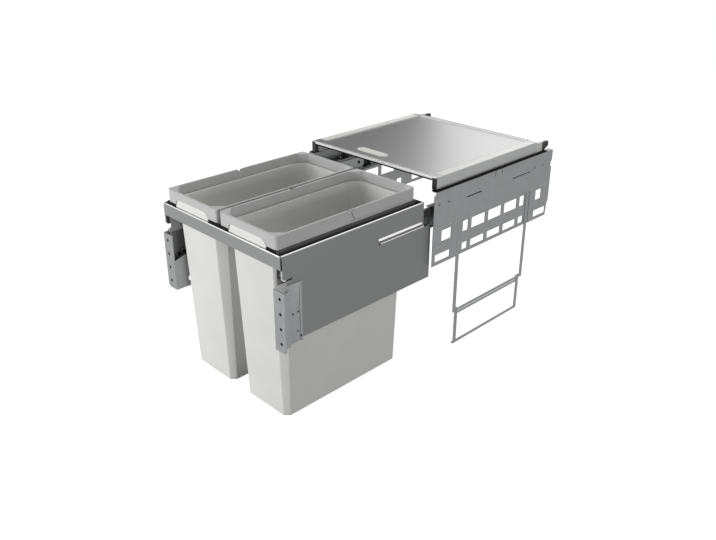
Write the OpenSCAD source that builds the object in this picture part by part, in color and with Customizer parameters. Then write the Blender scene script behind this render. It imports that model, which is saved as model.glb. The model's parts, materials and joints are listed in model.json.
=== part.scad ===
// Built-in waste bin for a 450 mm base cabinet, shown with its drawer pulled fully out.
// Millimetres. The cabinet floor is z = 0, and x = 0 is the middle of the cabinet.
// Inside the modules, y = 0 is the drawer's front and z = 0 is the drawer's top edge.

/* [Cabinet] */
// Clear width inside the cabinet
cab_w = 412; // [400:1:440]
// Height of the drawer's top edge above the cabinet floor
top_h = 394; // [390:1:430]
// Distance that the drawer travels
travel = 415; // [405:1:425]

/* [Side plates] */
// Depth of a side plate
plate_d = 460; // [455:1:480]
// Thickness of the side plates and stands
plate_t = 1.5; // [1.2:0.1:1.8]
// Height of the plates above the drawer's top edge
plate_rise = 17; // [15:0.5:20]
// Reach of the plates below the drawer's top edge
plate_drop = 157; // [150:1:165]
// Distance of the plates' front edge behind the closed drawer's front
plate_set_back = 1; // [0:0.5:5]
// Depth of the shelf folded in along the plates' top edge
shelf_w = 14; // [12:0.5:16]
// Height of the step between the plain sheet and the windows, below the drawer's top edge
step_z = 70; // [66:1:72]
// Size of a wide window
window_w = 51; // [45:1:54]
// Size of a narrow window
slit_window_w = 19; // [14:1:20]
// Sheet left between two windows
window_bar = 13; // [10:1:14]
// Height of the upper windows
window_h = 26; // [20:1:27]
// Height of the lower windows
low_window_h = 17.5; // [14:0.5:18]
// Distance of the upper windows below the step
window_drop = 7; // [5:0.5:9]
// Sheet left under the lower windows
sill_h = 8.5; // [7:0.5:12]
// Radius of the fixing holes
fix_r = 2.5; // [2:0.1:3]
// Distance between two fixing holes
fix_pitch = 32; // [32:32]

/* [Stands] */
// Width of a stand's legs
leg_w = 11; // [9:0.5:12]
// Distance of the front leg behind the plate's front edge
leg_y = 91.5; // [91:0.5:92]
// Distance between the upper stand's legs
leg_pitch = 272.5; // [271:0.5:273]
// Height of a stand's cross bar
stand_bar_h = 7; // [5:0.5:9]
// Height of the upper stand's cross bar above the floor
upper_bar_z = 96; // [92:1:110]

/* [Drawer] */
// Running gap between a side plate and the drawer's panel
side_gap = 10.5; // [10:0.1:12]
// Depth of the drawer's upper frame
drawer_d = 396; // [390:1:400]
// Reach of the side panel's skirt behind the drawer
skirt_over = 25; // [20:1:30]
// Height of a side panel
panel_h = 185; // [175:1:190]
// Thickness of the drawer's sheet steel
sheet = 1.2; // [1:0.1:1.4]
// Height of the front rail
front_rail_h = 28; // [24:1:32]
// Start of the hooded slot in the side panel
slot_y = 258; // [250:1:262]
// Height of that slot
slot_h = 5; // [4:0.5:5.5]
// Distance of the hood's top below the drawer's top edge
hood_z = 47; // [46:0.5:48]
// Reach of the hood from the panel
hood_w = 7.5; // [6:0.5:8]
// Height of the hood's outer edge
hood_h = 4.5; // [4:0.5:5]

/* [Front brackets] */
// Width of a bracket's flange
bracket_w = 32; // [29:1:34]
// Height of a bracket's flange
bracket_h = 130; // [125:1:140]
// Distance of the flange's top below the drawer's top edge
bracket_z = 71; // [70:1:74]
// Depth of a bracket's web along the panel
bracket_d = 47; // [44:1:52]
// Thickness of a bracket
bracket_t = 2; // [1.5:0.1:2.2]
// Radius of the holes for the cabinet's front
front_hole_r = 3.5; // [2.5:0.1:3.5]

/* [Runners] */
// Height of a runner
runner_h = 45; // [43:0.5:46]
// Distance of a runner's middle below the drawer's top edge
runner_z = 40; // [39:0.5:41]
// Thickness of a runner's steel
runner_t = 1.2; // [1:0.05:1.3]
// Gap between the side panel and the runner
runner_gap = 1.3; // [1:0.1:1.6]
// Length of the cabinet's member
fixed_rail_l = 450; // [440:1:455]
// Length of the middle member
middle_rail_l = 400; // [390:1:410]
// Radius of a bearing ball
ball_r = 1.75; // [1.6:0.05:1.8]
// Distance between two balls
ball_pitch = 24; // [20:1:30]
// Balls in a row of the outer cage
outer_balls = 8; // [4:1:8]
// Balls in a row of the inner cage
inner_balls = 6; // [4:1:6]

/* [Bins] */
// Free gap between the two collars
bin_gap = 7.4; // [6:0.1:9]
// Gap between a seat's wall and the collar inside it
bin_clear = 0.7; // [0.5:0.1:1]
// Height of the collar above the drawer's top edge
collar_top = 34; // [30:0.5:38]
// Height of the collar's lower edge
collar_base = 4.8; // [4.6:0.1:6]
// Thickness of the collar's wall
collar_w = 4.6; // [4.4:0.1:5.2]
// Corner radius of the collar outside
collar_r = 8; // [7:0.5:12]
// Slanted corners of the collar's opening
corner_cut = 21.3; // [19:0.1:24]
// Wall of a bucket
bucket_wall = 2.2; // [1.8:0.1:2.6]
// Depth of a bucket below the drawer's top edge
bucket_drop = 385; // [380:1:390]
// Distance of a bucket's body inside the collar's outside, at its mouth
body_in = 9.4; // [9:0.1:11]
// How much a bucket narrows on each side from mouth to bottom, across the drawer
taper_x = 12; // [10:0.1:14]
// The same along the drawer
taper_y = 14.7; // [12:0.1:17]
// Slanted corners of the bucket's bottom
foot_cut = 11.1; // [9:0.1:14]
// Radius of the bucket's bottom edge
bucket_edge_r = 4; // [3:0.5:6]
// Height of the bucket's bearing rim
rim_h = 12.7; // [10:0.1:14]
// Height of the bucket's mouth above the drawer's top edge
mouth_z = 13; // [9:0.5:15]
// Width of the grip lip in the bucket's front
lip_w = 116; // [100:1:124]
// Height of that lip
lip_z = 17; // [14:0.5:19]

/* [Handles] */
// Thickness of the bail handle
handle_t = 2.4; // [2:0.1:2.6]
// Distance of the handle's pivot behind the drawer's front
pivot_y = 204; // [200:1:208]
// Height of the pivot
pivot_z = 22; // [21:0.5:23]
// Height of the handle's lower edge
handle_base = 11; // [10.5:0.1:11.5]
// Radius of the pivot pin
pivot_r = 3; // [2.5:0.1:3.5]

/* [Lid] */
// Depth of the lid board
lid_d = 383; // [375:1:390]
// Distance of the lid's front behind the plates' front edge
lid_set_back = 12; // [10:0.5:14]
// Height of the lid's top above the drawer's top edge
lid_top = 47; // [45:0.5:50]
// Thickness of the lid's profiles
lid_t = 1.2; // [1:0.1:1.5]
// Width of a side profile
lid_profile_w = 24.5; // [22:0.5:28]
// Depth of the front trim
lid_trim_d = 24; // [20:1:28]
// Length of the grip in the lid
grip_l = 86; // [70:1:100]
// Width of the grip in the lid
grip_w = 20; // [16:1:24]
// Place of the grip across the lid
grip_x = -31; // [-40:1:40]

/* [Hidden] */
$fn = 48;

// Running clearance between pieces that slide, and the overshoot of a cut
clear = 0.3;
over = 1;

// Planes across the cabinet, from the wall inwards
half_cab = cab_w / 2;
plate_x = half_cab - plate_t;
panel_x = plate_x - side_gap;
panel_in = panel_x - sheet;
rail_x = panel_in - runner_gap;
rail_w = 12.7;
web_x = rail_x - rail_w;
web_in = web_x - sheet;
hood_x = panel_x + hood_w;

// Planes along the drawer and the plates
plate_y0 = travel + plate_set_back;
plate_y1 = plate_y0 + plate_d;
tab_y = sheet + clear;
slot_web_y = slot_y + travel + 12;
// Slot under the hood, from its top edge to its bottom edge
slot_top = -hood_z - sheet - hood_h - 0.5;
slot_base = slot_top - slot_h;
flange_y = -1.4;
mid_y = (flange_y + plate_y1) / 2;

// Seats of the bins
seat_t = 1.2;
seat_top = -8.5;
seat_wall_top = 6.5;
seat_x = panel_in - 10.6 - seat_t;
bin_x0 = bin_gap / 2;
bin_x1 = seat_x - bin_clear;
bin_y0 = tab_y + 2 * seat_t + bin_clear;
bin_y1 = drawer_d - 14.3;
bin_w = bin_x1 - bin_x0;
bin_l = bin_y1 - bin_y0;
bin_cx = (bin_x0 + bin_x1) / 2;
bin_cy = (bin_y0 + bin_y1) / 2;
rim_z = seat_top + clear;
// The bucket's wall lies inside the collar's wall
wall_in = collar_w + clear;
// Room behind the collar's rear wall, which the handle's loop needs as it swings up
swing_gap = 0.8;

// Runner: depths u are measured from the cabinet member's back, heights w from its middle
fixed_w = runner_h / 2;
race = 2 * ball_r + 0.5;
middle_u = 2.6;
middle_w = fixed_w - runner_t - race;
inner_u = 5.2;
inner_w = middle_w - runner_t - race;
block_u = 11;
fixed_y = plate_y0 + 2;
middle_y = fixed_y + 9.5 - travel / 2;
outer_cage_y = fixed_y + 22;
inner_cage_y = middle_y + 20;

// Lid and its guides, from the shelf upwards
strip_t = 2.2;
strip_z = plate_rise + strip_t;
lid_x = panel_x + 4.5;
lid_y0 = plate_y0 + lid_set_back;
lid_y1 = lid_y0 + lid_d;
lid_under = lid_top - lid_t;
sheet_z = lid_under - lid_t;
guide_top = lid_top - 5;
guide_x0 = lid_x - 11.5;
guide_x1 = lid_x - lid_t - 0.9;
guide_y1 = lid_y1 + 28;

// Stands
bar_z = upper_bar_z - top_h;
low_leg_in = 4.5;

// Knob that clamps the side plate
knob_y = plate_y0 + 129;
knob_z = -20;
knob_r = 15;
knob_h = side_gap - 1.2;

steel = "#8d8f91";
dark_steel = "#6d6f70";
bright_steel = "#c9cacb";
black_plastic = "#1c1c1d";
nylon = "#dcdcd8";
bucket_grey = "#dfdfdd";
collar_grey = "#b4b4b2";

// Moves a piece from the drawer's datum to the cabinet floor under the middle
module place() translate([0, -mid_y, top_h]) children();
// Draws a piece on the right, or mirrored on the left
module on_side(s) {
    if (s > 0) place() children();
    else place() mirror([1, 0, 0]) children();
}
// Sheet that stands along the drawer: the outline's x is y, and its y is z
module standing(x, t) translate([x, 0, 0]) rotate([90, 0, 90]) linear_extrude(t) children();
// Profile in x and z, carried along y
module along_y(y, l) translate([0, y + l, 0]) rotate([90, 0, 0]) linear_extrude(l) children();
// Profile in y and z, carried along x
module along_x(x, l) standing(x, l) children();
module box(x0, x1, y0, y1, z0, z1) translate([x0, y0, z0]) cube([x1 - x0, y1 - y0, z1 - z0]);
module flat(a0, a1, b0, b1) translate([a0, b0]) square([a1 - a0, b1 - b0]);
// Round-cornered rectangle about its middle, with true arcs
module rounded(w, l, r) {
    square([w - 2 * r, l], center = true);
    square([w, l - 2 * r], center = true);
    for (x = [-1, 1], y = [-1, 1]) translate([x * (w / 2 - r), y * (l / 2 - r)]) circle(r);
}
module pill(l, w) {
    square([l - w, w], center = true);
    for (x = [-1, 1]) translate([x * (l - w) / 2, 0]) circle(w / 2);
}
function arc(c, r, a0, a1, n) = [for (i = [0 : n]) let (a = a0 + (a1 - a0) * i / n) c + r * [cos(a), sin(a)]];
function sum(v, n) = n <= 0 ? 0 : v[n - 1] + sum(v, n - 1);

// Side plates

// The recessed panel ends just outside the stand's legs
leg_ys = [plate_y0 + leg_y, plate_y0 + leg_y + leg_pitch];
panel_y0 = leg_ys[0] - leg_w / 2 - 2;
panel_y1 = leg_ys[1] + leg_w / 2 + 4.5;
// Outer edges of the lower stand
low_ys = [leg_ys[0] + low_leg_in, leg_ys[1] - low_leg_in];
row = [slit_window_w, window_w, window_w, window_w, slit_window_w];
row_w = sum(row, 5) + 4 * window_bar;
row_y = (panel_y0 + panel_y1) / 2 - row_w / 2;
window_z = -step_z - window_drop - window_h;
low_window_z = -plate_drop + sill_h;
fix_z = -14;
fix_front_y = plate_y0 + 18;
fix_rear_y = plate_y1 - 45 - fix_pitch;
carrier_l = 170;
carrier_pitch = 65;
rivet_y = [for (k = [0 : 2]) slot_web_y + 20 + carrier_pitch * k];
rivet_z = -33;
rivet_r = 2;
slit_y = [218, 244];
slit_w = 2;
knob_slot_l = 57;
knob_slot_w = 3;
hook_slot_l = 74;
hook_slot_y = plate_y0 + 327;
tie_r = 1.6;
tie_pitch = 12;

module window_row(z, h) {
    for (i = [0 : 4]) let (y = row_y + i * window_bar) flat(y + sum(row, i), y + sum(row, i + 1), z, z + h);
}

module plate_holes() {
    for (y = [fix_front_y, fix_rear_y], k = [0, 1]) translate([y + k * fix_pitch, fix_z]) circle(fix_r);
    for (y = rivet_y) translate([y, rivet_z]) circle(rivet_r + 0.1);
    // Slots for the clamp knob, and further back for the runner's hook
    translate([knob_y + 12.5, knob_z]) pill(knob_slot_l, knob_slot_w);
    translate([hook_slot_y, knob_z]) pill(hook_slot_l, knob_slot_w);
}

// Plain sheet with the front and rear blocks, in the outer plane
module plate_sheet() {
    difference() {
        flat(plate_y0, plate_y1, -plate_drop, plate_rise);
        flat(panel_y0, panel_y1, -plate_drop - over, -step_z);
        polygon([[plate_y0 - over, plate_rise + over], [plate_y0 - over, plate_rise - 8],
                 [plate_y0, plate_rise - 8], [plate_y0 + 8, plate_rise], [plate_y0 + 8, plate_rise + over]]);
        polygon([[plate_y1 + over, -29], [plate_y1 - 5, -25], [plate_y1 - 5, -14], [plate_y1 + over, -10]]);
        polygon([[plate_y1 + over, -plate_drop - over], [plate_y1 - 8, -plate_drop - over],
                 [plate_y1 - 4, -plate_drop + 34], [plate_y1 + over, -plate_drop + 38]]);
        for (y = slit_y) flat(plate_y0 + y, plate_y0 + y + slit_w, plate_rise - 15, plate_rise + over);
        plate_holes();
        // Front block
        flat(plate_y0 + 30, plate_y0 + 63, window_z, window_z + window_h);
        flat(plate_y0 + 10, plate_y0 + 61, low_window_z, low_window_z + low_window_h);
        // Rear block
        flat(plate_y1 - 61, plate_y1 - 37, window_z, window_z + window_h);
        flat(plate_y1 - 63, plate_y1 - 12, low_window_z, low_window_z + low_window_h);
        // Pressed lines over the blocks' windows
        flat(plate_y0 + 12, plate_y0 + 70, -step_z, -step_z + 1.2);
        flat(plate_y1 - 81, plate_y1 - 10, -step_z, -step_z + 1.2);
        // Rows of small tie holes between the windows
        for (y = [plate_y0 + 22, plate_y1 - 66], i = [0 : 4])
            translate([y + tie_pitch * i, window_z - 13]) circle(tie_r);
    }
}

// Recessed panel between the blocks
module plate_panel() {
    difference() {
        flat(panel_y0, panel_y1, -plate_drop, -step_z);
        window_row(window_z, window_h);
        window_row(low_window_z, low_window_h);
        for (y = [row_y + 78, row_y + 172]) translate([y, window_z - 12]) circle(tie_r);
    }
}

module side_plate(s) color(steel) on_side(s) {
    standing(plate_x, plate_t) plate_sheet();
    standing(plate_x - plate_t, plate_t) plate_panel();
    // Steps that join the recessed panel to the plain sheet
    box(plate_x - plate_t, half_cab, panel_y0, panel_y1, -step_z - plate_t, -step_z);
    for (y = [panel_y0, panel_y1 - plate_t])
        box(plate_x - plate_t, half_cab, y, y + plate_t, -plate_drop, -step_z);
    // Shelf along the top edge, left out between the two slits
    for (y = [[plate_y0 + 8, plate_y0 + slit_y[0]], [plate_y0 + slit_y[1] + slit_w, plate_y1]])
        box(half_cab - shelf_w, half_cab, y[0], y[1], plate_rise - plate_t, plate_rise);
}

// Stands that hold the plates up while they are screwed to the cabinet

module upper_stand(s) color(steel) on_side(s) {
    leg_top = -step_z - plate_t - clear;
    for (y = leg_ys) box(plate_x, half_cab, y - leg_w / 2, y + leg_w / 2, bar_z - stand_bar_h, leg_top);
    box(plate_x, half_cab, leg_ys[0] - leg_w / 2, leg_ys[1] + leg_w / 2, bar_z - stand_bar_h, bar_z);
    // Hooks round the outer edges of the lower stand, open towards the middle for its upper bar
    hook_x = plate_x - 2 * plate_t - 2 * clear;
    hook_w = leg_w + clear;
    for (y = [low_ys[0] - clear - plate_t, low_ys[1] + clear])
        box(hook_x, plate_x, y, y + plate_t, bar_z - stand_bar_h, bar_z);
    for (y = [low_ys[0] - clear - plate_t, low_ys[1] - leg_w])
        box(hook_x, hook_x + plate_t, y, y + hook_w + plate_t, bar_z - stand_bar_h, bar_z);
}

// Closed frame that slides up and down behind the upper stand
module lower_stand(s) color(steel) on_side(s) {
    x1 = plate_x - clear;
    top = bar_z - 1;
    for (y = [low_ys[0], low_ys[1] - leg_w]) box(x1 - plate_t, x1, y, y + leg_w, -top_h, top);
    for (z = [-top_h, top - 15.5]) box(x1 - plate_t, x1, low_ys[0], low_ys[1], z, z + stand_bar_h - 1);
    // Foot folded in along the floor
    box(x1 - plate_t - 6, x1, low_ys[0], low_ys[1], -top_h, -top_h + plate_t);
}

// Runners

module runner_pair(u0, u1, w0, w1) {
    for (k = [-1, 1]) translate([0, -runner_z])
        flat(rail_x - u1, rail_x - u0, k < 0 ? -w1 : w0, k < 0 ? -w0 : w1);
}
module runner_back(u, t, w) translate([0, -runner_z]) flat(rail_x - u - t, rail_x - u, -w, w);

// Bracket that reaches through the drawer's slot when the drawer is shut
module rail_carrier(s) color(steel) on_side(s) {
    web_z = (slot_top + slot_base) / 2;
    y1 = slot_web_y + carrier_l;
    difference() {
        union() {
            box(rail_x, plate_x, slot_web_y, y1, web_z - 0.8, web_z + 0.8);
            standing(plate_x - plate_t, plate_t) flat(slot_web_y, y1, web_z - 0.8, rivet_z + 9);
        }
        for (y = rivet_y) translate([plate_x, y, rivet_z]) rotate([0, 90, 0])
            cylinder(r = rivet_r + 0.1, h = 4 * plate_t, center = true);
        // Lightening slots in the web
        for (k = [0, 1]) translate([(rail_x + plate_x) / 2, (rivet_y[k] + rivet_y[k + 1]) / 2, web_z])
            linear_extrude(4, center = true) rotate(90) pill(36, 5);
    }
}

module carrier_rivets() color(bright_steel) for (s = [1, -1], y = rivet_y) on_side(s)
    translate([0, y, rivet_z]) rotate([0, 90, 0]) {
        translate([0, 0, plate_x - plate_t]) cylinder(r = rivet_r, h = 2 * plate_t);
        translate([0, 0, plate_x - plate_t - 1.4]) cylinder(r1 = rivet_r + 0.6, r2 = 2 * rivet_r, h = 1.4);
    }

module fixed_rail(s) color(bright_steel) on_side(s) along_y(fixed_y, fixed_rail_l) {
    runner_back(0, runner_t, fixed_w);
    runner_pair(0, block_u, fixed_w - runner_t, fixed_w);
    runner_pair(block_u - runner_t, block_u, fixed_w - 2 * runner_t - 0.2, fixed_w - runner_t);
}

module middle_rail(s) color(bright_steel) on_side(s) difference() {
    along_y(middle_y, middle_rail_l) {
        runner_back(middle_u, runner_t, middle_w);
        runner_pair(middle_u, 10.5, middle_w - runner_t, middle_w);
    }
    // Round holes in the web
    for (k = [0 : 5]) translate([rail_x - middle_u, middle_y + 40 + 64 * k, -runner_z])
        rotate([0, 90, 0]) cylinder(r = 5, h = 6, center = true);
}

// Rubber-tipped stop in the rear end of the middle member
module rail_stop(s) color(black_plastic) on_side(s) {
    w = middle_w - runner_t - clear;
    y1 = middle_y + middle_rail_l;
    u = middle_u + runner_t;
    difference() {
        box(rail_x - block_u, rail_x - u, y1 - 20, y1, -runner_z - w, -runner_z + w);
        box(rail_x - block_u - over, rail_x - u - 2, y1 - 20 - over, y1 - 7,
            -runner_z - w + 5, -runner_z + w - 5);
    }
}

module drawer_rail(s) color(bright_steel) on_side(s) along_y(8, drawer_d - 14) {
    runner_back(rail_w - runner_t, runner_t, inner_w);
    runner_pair(inner_u, rail_w, inner_w - runner_t, inner_w);
}

// Ball cage: u and w of its back, depth of its arms, first y and balls in a row
module cage(u, w, depth, y, n) {
    t = 0.8;
    along_y(y, (n - 1) * ball_pitch + 12) {
        runner_back(u, t, w);
        runner_pair(u, depth, w - runner_t, w);
    }
    for (i = [0 : n - 1], k = [-1, 1])
        translate([rail_x - depth + 2, y + 6 + ball_pitch * i, -runner_z + k * (w - 0.6)])
            sphere(ball_r, $fn = 24);
}
module outer_cage(s) color(black_plastic) on_side(s)
    cage(1.5, fixed_w - runner_t - race / 2 + 0.6, 8.5, outer_cage_y, outer_balls);
module inner_cage(s) color(black_plastic) on_side(s)
    cage(4.1, middle_w - runner_t - race / 2 + 0.6, 9.5, inner_cage_y, inner_balls);

// Plastic guide at the front end of the cabinet's member
module rail_guide(s) color(black_plastic) on_side(s) difference() {
    z0 = -runner_z - fixed_w;
    union() {
        box(rail_x - block_u, rail_x, fixed_y - 10, fixed_y + 22, z0 - 5.5, z0 - clear);
        box(rail_x - block_u, rail_x, fixed_y - 10, fixed_y - clear, z0 - 5.5, z0 + 1.9);
    }
    translate([rail_x - 6, fixed_y + 14, z0 - 4]) cylinder(r = 2.4, h = 12, center = true);
}

// Damped closing unit under the rear of the cabinet's member
module soft_close(s) color(black_plastic) on_side(s) {
    z1 = -runner_z - fixed_w - clear;
    y0 = slot_web_y + 8;
    y1 = fixed_y + fixed_rail_l - 6;
    track_y = y0 + 96;
    difference() {
        box(rail_x - block_u, rail_x, y0, y1, z1 - 13, z1);
        // Track of the catch, open towards the drawer
        box(rail_x - block_u - over, rail_x - 7, y0 - over, track_y, z1 - 8, z1 - 4);
        translate([rail_x - block_u, track_y, z1 - 6]) rotate([0, 90, 0]) cylinder(r = 2, h = 8, center = true);
    }
    // Damper body that shows under the housing
    translate([rail_x - 5.5, y0 + 12, z1 - 13]) rotate([-90, 0, 0]) cylinder(r = 3.6, h = y1 - y0 - 24);
}

// Domed knob inside each plate, with its shank in the plate's slot
module clamp_knobs() color(bright_steel) for (s = [1, -1]) on_side(s) translate([plate_x, knob_y, knob_z]) {
    dome_r = (knob_r * knob_r + knob_h * knob_h) / (2 * knob_h);
    intersection() {
        translate([dome_r - knob_h, 0, 0]) sphere(dome_r);
        translate([-knob_h - over, -knob_r, -knob_r]) cube([knob_h + over, 2 * knob_r, 2 * knob_r]);
    }
    rotate([0, 90, 0]) cylinder(r = 1.3, h = plate_t);
}

// Lid guides on the side plates

module guide_strip(s) color(black_plastic) on_side(s)
    box(half_cab - shelf_w - 3, half_cab - 0.5, plate_y0 + 9, guide_y1 + 11, plate_rise, strip_z);

module lid_guide(s) color(nylon) on_side(s) difference() {
    box(guide_x0, guide_x1, lid_y0 + 12, guide_y1, strip_z, guide_top);
    // Groove along the inner face and the rounded nose at the front
    box(guide_x0 - over, guide_x0 + 2, lid_y0, guide_y1 + over, strip_z + 8, guide_top - 8);
    translate([0, lid_y0 + 12, guide_top - 6]) rotate([-45, 0, 0])
        box(guide_x0 - over, guide_x1 + over, -20, 0, 0, 12);
}

module lid_stops() color(black_plastic) for (s = [1, -1]) on_side(s)
    standing(guide_x0, guide_x1 - guide_x0) polygon([[guide_y1, strip_z], [guide_y1 + 12, strip_z],
        [guide_y1 + 28, strip_z + 8], [guide_y1 + 28, guide_top - 3], [guide_y1, guide_top - 3]]);

// Drawer frame

// Centre and radius of the round end above each front bracket
notch = [tab_y + 8, -43];
notch_r = 8;
end_gap = 2.6;
bead_w = 1.2;
bead_over = 0.3;

module side_outline() {
    y1 = drawer_d + skirt_over;
    low_z = notch[1] - notch_r - 3;
    difference() {
        polygon(concat([[tab_y, 0], [drawer_d, 0], [drawer_d, slot_base], [y1 - 4, slot_base],
                        [y1, slot_base - 7], [y1, -panel_h], [14, -panel_h], [14, low_z],
                        [28, low_z], [28, low_z + 4.5]],
                       arc(notch, notch_r, 275, 180, 10)));
        // Gap that shows beside the front rail's end
        flat(tab_y - over, tab_y + end_gap, -front_rail_h, -4);
        // Slot that lets the carrier through, round at its front end and open at the rear
        flat(slot_y + slot_h / 2, y1 + over, slot_base, slot_top);
        translate([slot_y + slot_h / 2, slot_base + slot_h / 2]) circle(slot_h / 2);
        for (p = screw_places) translate(p) circle(screw_hole_r);
    }
}

module side_panel(s) color(dark_steel) on_side(s) {
    standing(panel_in, sheet) side_outline();
    // Hood over the slot, folded out of the panel with its edge turned down
    box(panel_x - sheet / 2, hood_x, slot_y - 2, drawer_d - 6, -hood_z - sheet, -hood_z);
    box(hood_x - sheet, hood_x, slot_y - 2, drawer_d - 6, -hood_z - sheet - hood_h, -hood_z);
    // Bead down the front edge and round that end
    standing(panel_in + sheet / 2, sheet / 2 + 1.3) translate(notch) {
        difference() {
            circle(notch_r + bead_over);
            circle(notch_r - bead_w);
            flat(-12, 12, 0, 12);
            flat(1, 12, -12, 12);
        }
        flat(-notch_r - bead_over, -notch_r + bead_w, -0.01, -front_rail_h - notch[1] - 0.4);
    }
    // Tab behind the front rail, just above the runner, and the fold along the bottom edge
    tab_y0 = tab_y + end_gap + 0.4;
    tab_z = -runner_z + fixed_w + 2 * clear;
    box(panel_in - 12, panel_in + sheet / 2, tab_y0, tab_y0 + sheet, tab_z, seat_top - 3);
    box(panel_in - 8, panel_in, bracket_d + 4, drawer_d + skirt_over - 6, -panel_h, -panel_h + sheet);
}

module front_rail() color(steel) place() {
    fold = panel_in - clear;
    box(-panel_x, panel_x, 0, sheet, -front_rail_h, 0);
    box(-fold, fold, 0, 2 * sheet, -sheet, 0);
    box(-web_in + 0.7, web_in - 0.7, 0, 9.5, -front_rail_h, -front_rail_h + sheet);
}

rear_rail_h = 62;
rear_hole_pitch = 55;

module rear_rail() color(dark_steel) place() {
    y1 = drawer_d;
    box(-panel_in + clear, panel_in - clear, bin_y1 + 2.3, y1, -seat_t - clear - sheet, -seat_t - clear);
    difference() {
        box(-web_in + clear, web_in - clear, y1 - sheet, y1, -rear_rail_h, -seat_t - clear);
        for (k = [-2 : 2]) translate([rear_hole_pitch * k, y1, -36]) rotate([90, 0, 0])
            cylinder(r = 9, h = 6, center = true);
    }
    box(-web_in + clear, web_in - clear, y1 - 10, y1, -rear_rail_h, -rear_rail_h + sheet);
}

// Steel profile that carries the bins' seat and the runner
module inner_rail(s) color(steel) on_side(s) {
    z1 = seat_top - seat_t - clear;
    box(web_in, web_x, tab_y + sheet + 0.5, drawer_d - 0.2, -runner_z - fixed_w - 1.5, z1);
    box(web_in, panel_in - clear, tab_y + sheet + 0.5, drawer_d - 0.2, z1 - sheet, z1);
}

module bin_seat_side(s) color(black_plastic) on_side(s) {
    y0 = tab_y + sheet + 0.5;
    y1 = bin_y1 + bin_clear - 0.1;
    box(bin_x1 - wall_in + 0.9, panel_in - clear, y0, y1, seat_top - seat_t, seat_top);
    box(seat_x, seat_x + seat_t, y0, y1, seat_top, seat_wall_top);
}

module bin_seat_front() color(black_plastic) place() {
    edge = bin_x1 - wall_in + 0.8;
    y0 = tab_y;
    wall_y = bin_y0 - bin_clear - seat_t;
    box(-edge, edge, y0, bin_y0 + wall_in - 0.8, seat_top - seat_t, seat_top);
    difference() {
        box(-edge - 3, edge + 3, wall_y, wall_y + seat_t, seat_top, seat_wall_top);
        // Left open in front of each bucket's grip lip
        for (s = [-1, 1]) box(s * bin_cx - lip_w / 2 - 1, s * bin_cx + lip_w / 2 + 1, 0, 20, -2, 20);
    }
}

module bin_seat_rear() color(black_plastic) place() {
    edge = bin_x1 - wall_in + 0.8;
    y0 = bin_y1 + bin_clear;
    box(-edge, edge, bin_y1 - wall_in + 0.8, y0, seat_top - seat_t, seat_top);
    box(-panel_in + clear, panel_in - clear, y0, y0 + seat_t, seat_top, 0);
    box(-panel_in + clear, panel_in - clear, y0, drawer_d, -seat_t, 0);
    box(-edge, edge, y0, y0 + seat_t, seat_top - seat_t, 0);
}

module bin_seat_centre() color(black_plastic) place() {
    y0 = bin_y0 + wall_in - 0.8;
    y1 = bin_y1 - wall_in + 0.8;
    w = bin_x0 + wall_in - 0.8;
    box(-w, w, y0, y1, seat_top - seat_t, seat_top);
    box(-1.2, 1.2, y0, y1, seat_top - 12, 4);
}

// Brackets for the cabinet's front

bracket_x1 = panel_x + 10;
front_hole_x = bracket_x1 - 13.8;
front_hole_z = [for (i = [0 : 3]) -bracket_z - 15.5 - fix_pitch * i];
screw_places = [[24, -125], [37, -124], [42, -178]];
screw_hole_r = 2.3;

module front_bracket(s) color(steel) on_side(s) {
    t = bracket_t;
    jog = 11;
    top = -bracket_z;
    foot = top - bracket_h;
    bracket_x0 = bracket_x1 - bracket_w;
    // Flange for the front, with its lower outer corner cut off
    difference() {
        translate([0, flange_y + t, 0]) rotate([90, 0, 0]) linear_extrude(t)
            polygon([[bracket_x0, top], [bracket_x1, top], [bracket_x1, foot + 5],
                     [bracket_x1 - 5, foot], [bracket_x0, foot]]);
        for (z = front_hole_z) translate([front_hole_x, 0, z]) rotate([90, 0, 0])
            cylinder(r = front_hole_r, h = 12, center = true);
    }
    // Gusset folded back from the flange's inner edge, with a slanted top
    difference() {
        standing(bracket_x0, t) polygon([[flange_y, foot], [flange_y, top - 61], [bracket_d - 5, top - 48],
                                         [bracket_d - 5, foot + 4], [bracket_d - 9, foot]]);
        translate([bracket_x0, bracket_d - 13, foot + 22]) rotate([0, 90, 0]) linear_extrude(12, center = true)
            pill(20, 6);
    }
    // Outer web, stepped in to the panel
    difference() {
        union() {
            box(bracket_x1 - t, bracket_x1, flange_y, jog, foot + 13, top);
            box(panel_x + clear, bracket_x1, jog - t, jog, foot + 13, top + 4);
            box(panel_x + clear, panel_x + clear + t, jog - t, bracket_d, foot + 13, top + 9);
            // Bead along the web's rear edge
            box(panel_x + clear, panel_x + clear + t + 1, bracket_d - 6, bracket_d - 2, foot + 13, top + 9);
        }
        screw_holes(panel_x, 20);
        translate([panel_x, 34, -165]) rotate([0, 90, 0]) cylinder(r = 2.6, h = 12, center = true);
    }
    // Inner plate, clamped to the panel by the same screws
    difference() {
        standing(panel_in - clear - t, t)
            polygon([[16, foot + 13], [16, -124], [26, -114], [bracket_d + 1, -114],
                     [bracket_d + 1, foot + 13]]);
        screw_holes(panel_in - clear - t, 10);
    }
}

module screw_holes(x, l) for (p = screw_places) translate([x, p[0], p[1]]) rotate([0, 90, 0])
    cylinder(r = screw_hole_r, h = l, center = true);

module bracket_screws() color(bright_steel) for (s = [1, -1]) on_side(s) for (p = screw_places)
    translate([panel_in - clear - bracket_t, p[0], p[1]]) rotate([0, 90, 0]) {
        cylinder(r = screw_hole_r - 0.2, h = 2 * bracket_t + sheet + 2 * clear);
        difference() {
            translate([0, 0, -2.4]) cylinder(r1 = 3, r2 = 4.2, h = 2.4);
            for (a = [0, 90]) rotate(a) cube([4.4, 0.9, 6.2], center = true);
        }
    }

// Bins

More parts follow.
